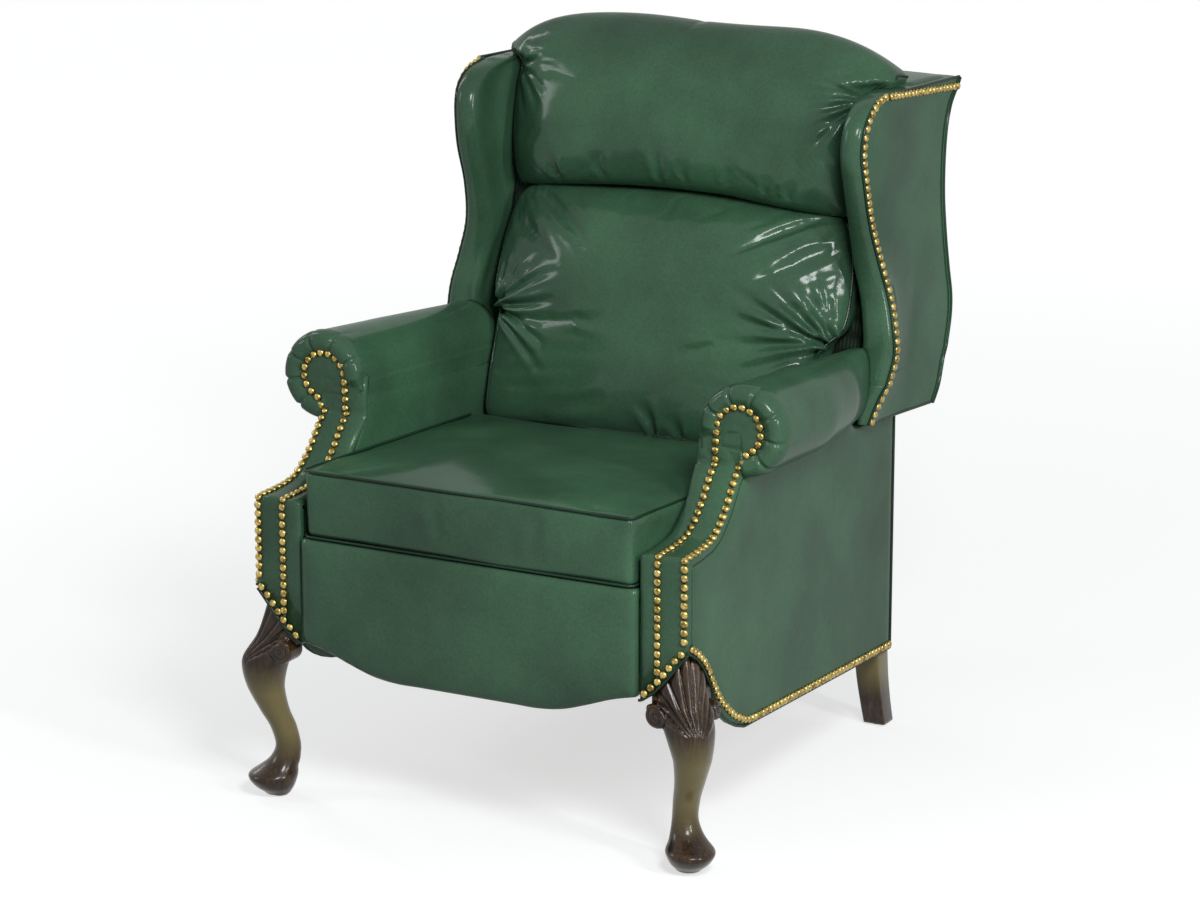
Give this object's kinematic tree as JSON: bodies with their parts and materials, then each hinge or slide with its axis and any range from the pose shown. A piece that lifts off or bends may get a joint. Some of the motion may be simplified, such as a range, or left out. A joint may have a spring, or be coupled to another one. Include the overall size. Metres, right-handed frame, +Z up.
{
  "type": "wingback recliner",
  "caption": "Glossy dark green leather wingback recliner with scroll arms, brass nail trim, carved cabriole front legs and a fold-out footrest.",
  "frame": {"origin": "on the floor, on the middle plane of the chair, 0.401 m behind the front face of the seat cushion", "axes": "front faces -Y, +Z is up, +X is the sitter's left"},
  "size_m": [0.8156, 0.9248, 1.078],
  "materials": {
    "leather": "glossy dark green top-grain leather",
    "leather_dark": "dark green leather on the plain rear cover",
    "walnut": "dark walnut stain, satin lacquer",
    "hardwood": "unfinished kiln-dried hardwood",
    "steel": "zinc-plated steel",
    "nailhead": "antique brass nail heads",
    "nylon": "moulded nylon",
    "platform_cloth": "dark green woven platform cloth under the cushions"
  },
  "bodies": {
    "base": {"front_leg_left": "walnut", "front_leg_right": "walnut", "rear_leg_left": "walnut", "rear_leg_right": "walnut", "floor_glides": "nylon", "arm_frame_left": "hardwood", "arm_frame_right": "hardwood", "arm_outer_panel_left": "leather", "arm_outer_panel_right": "leather", "arm_inner_panel_left": "leather", "arm_inner_panel_right": "leather", "arm_facing_left": "leather", "arm_facing_right": "leather", "arm_roll_left": "leather", "arm_roll_right": "leather", "rear_panel": "leather_dark", "cross_rails": "hardwood", "corner_blocks": "hardwood", "base_track_left": "steel", "base_track_right": "steel", "track_bolts": "steel", "nails_arm_left": "nailhead", "nails_arm_right": "nailhead", "nails_side_left": "nailhead", "nails_side_right": "nailhead"},
    "seat": {"seat_plate_left": "steel", "seat_plate_right": "steel", "seat_frame": "hardwood", "seat_springs": "steel", "seat_deck": "platform_cloth", "seat_cushion": "leather", "glide_rollers": "nylon"},
    "focal_links": {"focal_link_left": "steel", "focal_link_right": "steel"},
    "control_links": {"control_link_left": "steel", "control_link_right": "steel"},
    "ottoman_links": {"ottoman_link_left": "steel", "ottoman_link_right": "steel"},
    "drive_links": {"drive_link_left": "steel", "drive_link_right": "steel", "link_tube": "steel"},
    "footrest": {"footrest_bracket_left": "steel", "footrest_bracket_right": "steel", "footrest_board": "hardwood", "footrest_pad": "leather"},
    "back": {"back_bracket_left": "steel", "back_bracket_right": "steel", "back_frame": "hardwood", "back_springs": "steel", "back_pad": "platform_cloth", "wing_left": "leather", "wing_right": "leather", "outside_back": "leather", "nails_wing_left": "nailhead", "nails_wing_right": "nailhead", "lumbar_cushion": "leather", "head_pillow": "leather"}
  },
  "joints": [
    {"name": "seat_glide", "type": "slide", "parent": "base", "child": "seat", "axis": [0, -0.9903, 0.1392], "range_m": [0, 0.032]},
    {"name": "back_recline", "type": "hinge", "parent": "seat", "child": "back", "pos_m": [0, 0.19, 0.4], "axis": [-1, 0, 0], "range_deg": [0, 30]},
    {"name": "footrest_open", "type": "hinge", "parent": "seat", "child": "focal_links", "pos_m": [0, -0.335, 0.328], "axis": [-1, 0, 0], "range_deg": [0, 125]},
    {"name": "control_swing", "type": "hinge", "parent": "seat", "child": "control_links", "pos_m": [0, -0.3545, 0.365], "axis": [-1, 0, 0], "range_deg": [0, 122]},
    {"name": "ottoman_swing", "type": "hinge", "parent": "focal_links", "child": "ottoman_links", "pos_m": [0, -0.19328, 0.20908], "axis": [1, 0, 0], "range_deg": [0, 148.1]},
    {"name": "drive_swing", "type": "hinge", "parent": "control_links", "child": "drive_links", "pos_m": [0, -0.2246, 0.25534], "axis": [1, 0, 0], "range_deg": [0, 147.1]},
    {"name": "footrest_turn", "type": "hinge", "parent": "ottoman_links", "child": "footrest", "pos_m": [0, -0.346, 0.35001], "axis": [-1, 0, 0], "range_deg": [0, 113.1]}
  ],
  "couplings": [
    {"joint": "seat_glide", "follows": "back_recline", "m_per_rad": 0.0611},
    {"joint": "control_swing", "follows": "footrest_open", "ratio": 0.97576},
    {"joint": "ottoman_swing", "follows": "footrest_open", "ratio": 1.1844},
    {"joint": "drive_swing", "follows": "footrest_open", "ratio": 1.1759},
    {"joint": "footrest_turn", "follows": "footrest_open", "ratio": 0.9044}
  ]
}
